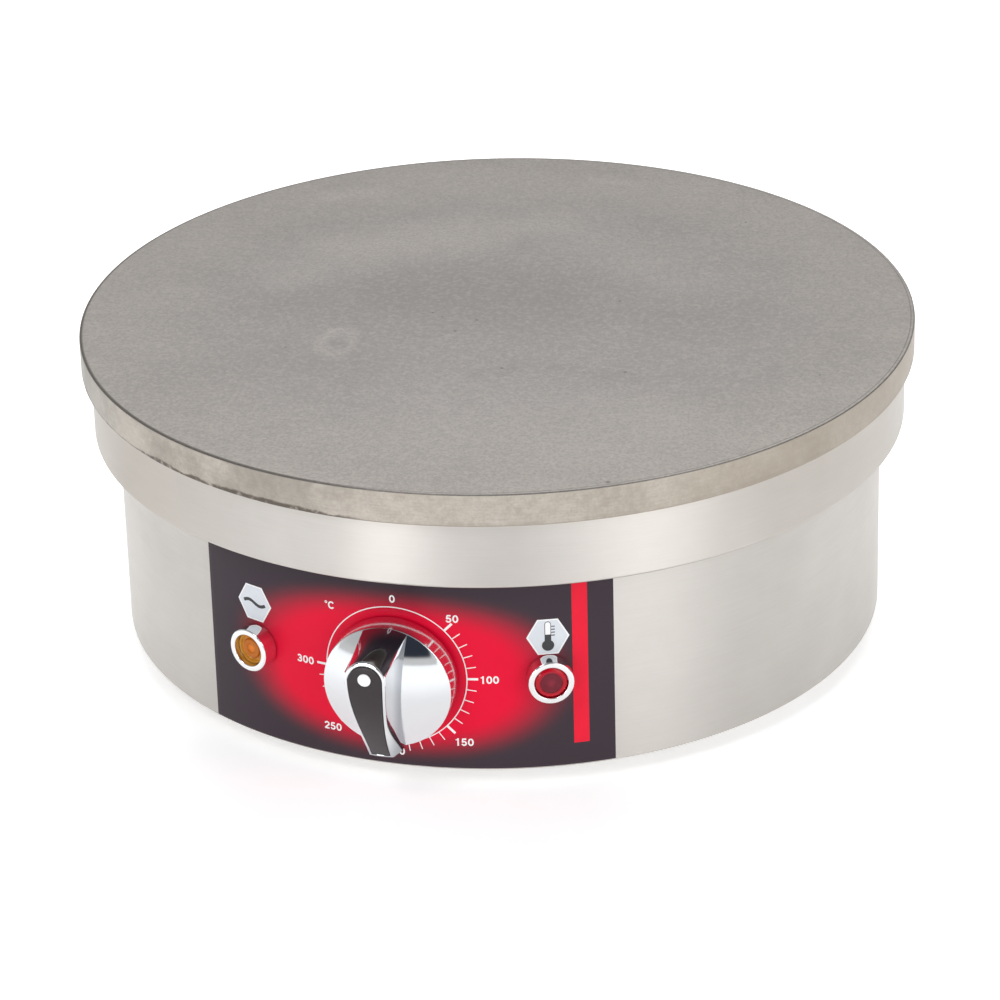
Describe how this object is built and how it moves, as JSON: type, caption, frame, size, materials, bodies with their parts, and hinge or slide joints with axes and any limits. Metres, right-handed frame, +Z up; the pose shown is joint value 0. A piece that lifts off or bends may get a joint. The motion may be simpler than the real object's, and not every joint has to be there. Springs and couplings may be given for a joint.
{
  "type": "electric crepe maker",
  "caption": "Round cast-iron griddle on a stainless collar and drum-shaped body, with a thermostat knob, a printed dial label and pilot lamps on the front.",
  "frame": {"origin": "on the griddle's axis, on the surface that the feet stand on", "axes": "+Z up, -Y towards the front with the knob and the label, +X to the right as seen from the front"},
  "size_m": [0.3999, 0.4339, 0.156],
  "materials": {
    "griddle_iron": "machined, matte",
    "satin_steel": "satin",
    "label_film": "printed, satin",
    "knob_chrome": "polished",
    "knob_inlay": "satin",
    "white_plastic": "satin",
    "black_plastic": "satin",
    "bezel_chrome": "polished",
    "amber_lens": "glossy, translucent",
    "red_lens": "glossy, translucent",
    "zinc_steel": "zinc plated",
    "element_steel": "heat darkened",
    "mineral_wool": "matte, fibrous",
    "shield_aluminium": "bright",
    "foot_rubber": "matte",
    "terminal_plastic": "satin",
    "brass": "plain",
    "capillary_copper": "plain",
    "lead_sleeve": "woven sleeve"
  },
  "bodies": {
    "base": {"griddle_plate": "griddle_iron", "frame_studs": "zinc_steel", "clamp_studs": "zinc_steel", "clip_studs": "zinc_steel", "heating_element": "element_steel", "element_clamp": "zinc_steel", "clamp_washers": "zinc_steel", "clamp_nuts": "zinc_steel", "insulation_disc": "mineral_wool", "heat_shield": "shield_aluminium", "thermostat_bulb": "capillary_copper", "bulb_clip": "zinc_steel", "clip_nuts": "zinc_steel", "collar_ring": "satin_steel", "support_brackets": "zinc_steel", "frame_washers": "zinc_steel", "frame_nuts": "zinc_steel", "body_shell": "satin_steel", "front_label": "label_film", "base_plate": "zinc_steel", "base_screws": "zinc_steel", "feet": "foot_rubber", "foot_screws": "zinc_steel", "foot_nuts": "zinc_steel", "thermostat_bracket": "zinc_steel", "thermostat_body": "terminal_plastic", "thermostat_screws": "zinc_steel", "thermostat_blades": "brass", "thermostat_capillary": "capillary_copper", "left_lamp_bezel": "bezel_chrome", "right_lamp_bezel": "bezel_chrome", "left_lamp_lens": "amber_lens", "right_lamp_lens": "red_lens", "lamp_housings": "black_plastic", "lamp_nuts": "black_plastic", "lamp_blades": "brass", "cable_gland": "black_plastic", "gland_cap": "black_plastic", "gland_nut": "black_plastic", "terminal_tray": "zinc_steel", "tray_screws": "zinc_steel", "terminal_block": "terminal_plastic", "terminal_screws": "brass", "earth_stud": "brass", "earth_nuts": "brass", "earth_tag": "brass", "left_lamp_leads": "lead_sleeve", "right_lamp_leads": "lead_sleeve", "supply_lead": "lead_sleeve", "heater_lead": "lead_sleeve", "return_lead": "lead_sleeve"},
    "knob": {"knob_shell": "knob_chrome", "knob_insert": "knob_inlay", "knob_dot": "white_plastic", "knob_core": "black_plastic", "hub_clip": "zinc_steel", "thermostat_shaft": "zinc_steel"}
  },
  "joints": [
    {"name": "knob_turn", "type": "hinge", "parent": "base", "child": "knob", "pos_m": [0, -0.1844, 0.0555], "axis": [0, 1, 0], "range_deg": [0, 270]}
  ]
}
